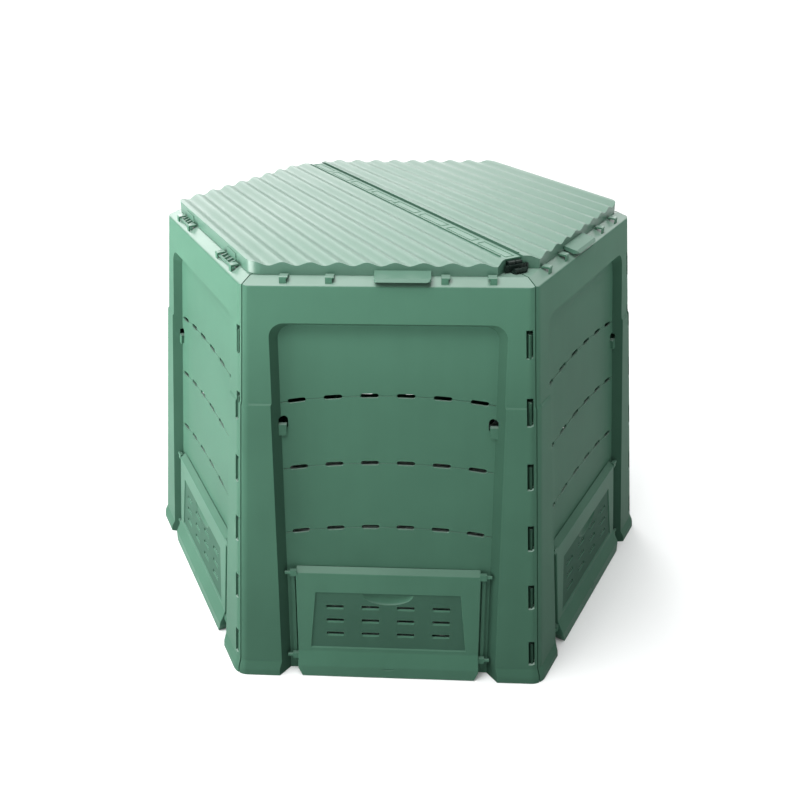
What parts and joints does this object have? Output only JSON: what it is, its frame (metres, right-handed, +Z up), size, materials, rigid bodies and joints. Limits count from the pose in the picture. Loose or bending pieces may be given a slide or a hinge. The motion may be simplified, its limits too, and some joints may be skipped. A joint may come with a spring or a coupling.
{
  "type": "compost bin",
  "caption": "Hexagonal garden compost bin of interlocking slotted plastic panels with lift-up emptying doors and a corrugated lid whose halves hinge open beside a crossbar.",
  "frame": {"origin": "centre of the hexagonal plan on the ground", "axes": "+Z up, -Y out of the front panel, +X to the right as seen from the front, along two corners of the plan"},
  "size_m": [1.194, 1.044, 0.8375],
  "materials": {
    "panel_plastic": "satin moulded",
    "door_plastic": "satin moulded",
    "lid_plastic": "satin moulded",
    "crossbar_plastic": "satin moulded",
    "dark_plastic": "dull moulded"
  },
  "bodies": {
    "bin": {"side_panel_front": "panel_plastic", "side_panel_front_right": "panel_plastic", "side_panel_back_right": "panel_plastic", "side_panel_back": "panel_plastic", "side_panel_back_left": "panel_plastic", "side_panel_front_left": "panel_plastic", "crossbar": "crossbar_plastic", "crossbar_clip_front": "dark_plastic", "crossbar_clip_back": "dark_plastic"},
    "lid_left": {"lid_left": "lid_plastic", "lid_grip_left_1": "lid_plastic", "lid_grip_left_2": "lid_plastic"},
    "lid_right": {"lid_right": "lid_plastic", "lid_grip_right_1": "lid_plastic", "lid_grip_right_2": "lid_plastic"},
    "door_front": {"door_front": "door_plastic"},
    "door_front_right": {"door_front_right": "door_plastic"},
    "door_back_right": {"door_back_right": "door_plastic"},
    "door_back": {"door_back": "door_plastic"},
    "door_back_left": {"door_back_left": "door_plastic"},
    "door_front_left": {"door_front_left": "door_plastic"}
  },
  "joints": [
    {"name": "lid_left_hinge", "type": "hinge", "parent": "bin", "child": "lid_left", "pos_m": [-0.37282, -0.21525, 0.8098], "axis": [0.5, -0.866, 0], "range_deg": [0, 110]},
    {"name": "lid_right_hinge", "type": "hinge", "parent": "bin", "child": "lid_right", "pos_m": [0.37282, 0.21525, 0.8098], "axis": [-0.5, 0.866, 0], "range_deg": [0, 110]},
    {"name": "door_front_slide", "type": "slide", "parent": "bin", "child": "door_front", "axis": [0, 0.0909, 0.9959], "range_m": [0, 0.3118]},
    {"name": "door_front_right_slide", "type": "slide", "parent": "bin", "child": "door_front_right", "axis": [-0.0787, 0.0454, 0.9959], "range_m": [0, 0.3118]},
    {"name": "door_back_right_slide", "type": "slide", "parent": "bin", "child": "door_back_right", "axis": [-0.0787, -0.0454, 0.9959], "range_m": [0, 0.3118]},
    {"name": "door_back_slide", "type": "slide", "parent": "bin", "child": "door_back", "axis": [0, -0.0909, 0.9959], "range_m": [0, 0.3118]},
    {"name": "door_back_left_slide", "type": "slide", "parent": "bin", "child": "door_back_left", "axis": [0.0787, -0.0454, 0.9959], "range_m": [0, 0.3118]},
    {"name": "door_front_left_slide", "type": "slide", "parent": "bin", "child": "door_front_left", "axis": [0.0787, 0.0454, 0.9959], "range_m": [0, 0.3118]}
  ]
}
